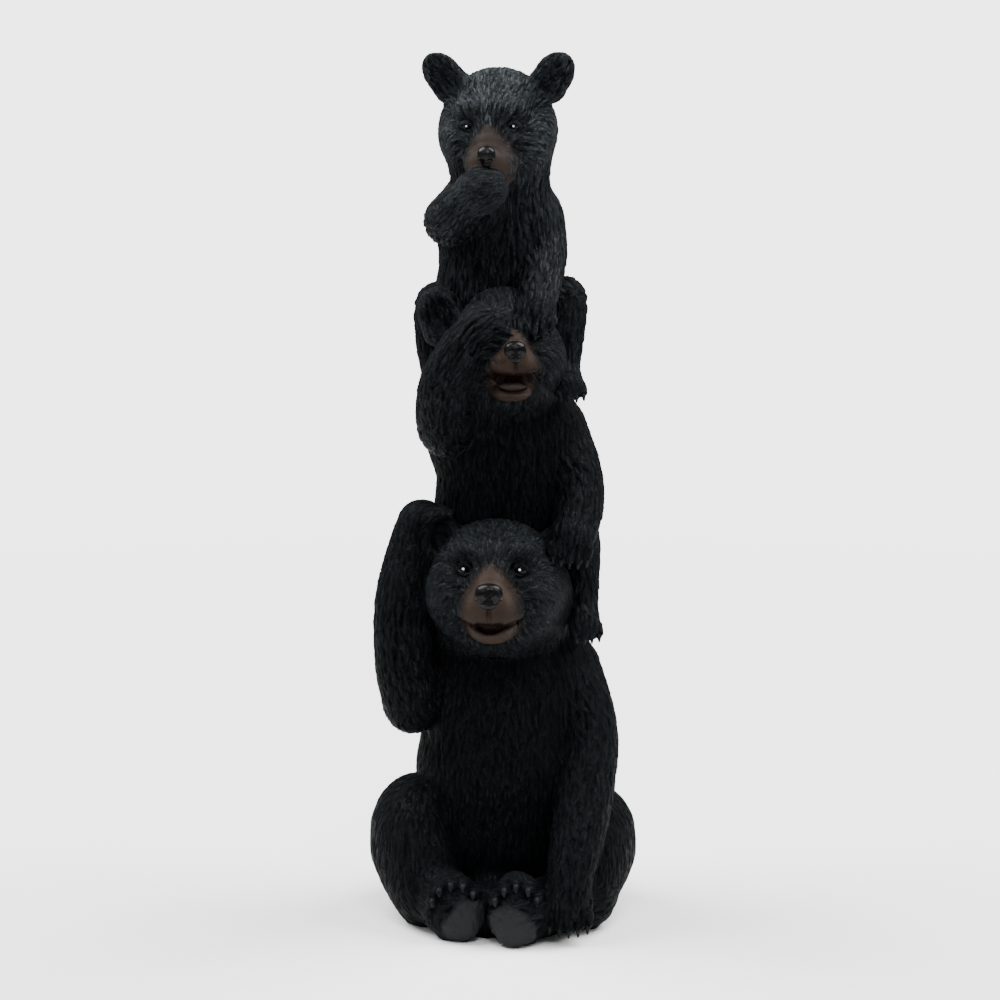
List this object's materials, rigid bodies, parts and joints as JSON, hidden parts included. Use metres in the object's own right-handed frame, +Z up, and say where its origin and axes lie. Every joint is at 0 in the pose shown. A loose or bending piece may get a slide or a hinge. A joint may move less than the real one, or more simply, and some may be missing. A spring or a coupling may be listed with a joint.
{
  "type": "stacked bear statue",
  "caption": "Black bear cubs sitting on each other's shoulders, covering an ear, an eye and a mouth with their paws, cast as one standing statue.",
  "frame": {"origin": "centre of the bounding box's footprint, on the flat underside that the statue stands on", "axes": "+Z up along the stack of figures, -Y the way the bears face, +X to the viewer's right of the picture"},
  "size_m": [0.1248, 0.1286, 0.3986],
  "materials": {
    "black_resin": "painted cast resin, satin black with a faint blue-grey sheen",
    "muzzle_paint": "brown paint on the muzzles, matt",
    "nose_gloss": "gloss black paint on the noses and eyes"
  },
  "bodies": {
    "root": {"bear_statue": "black_resin"}
  },
  "joints": []
}
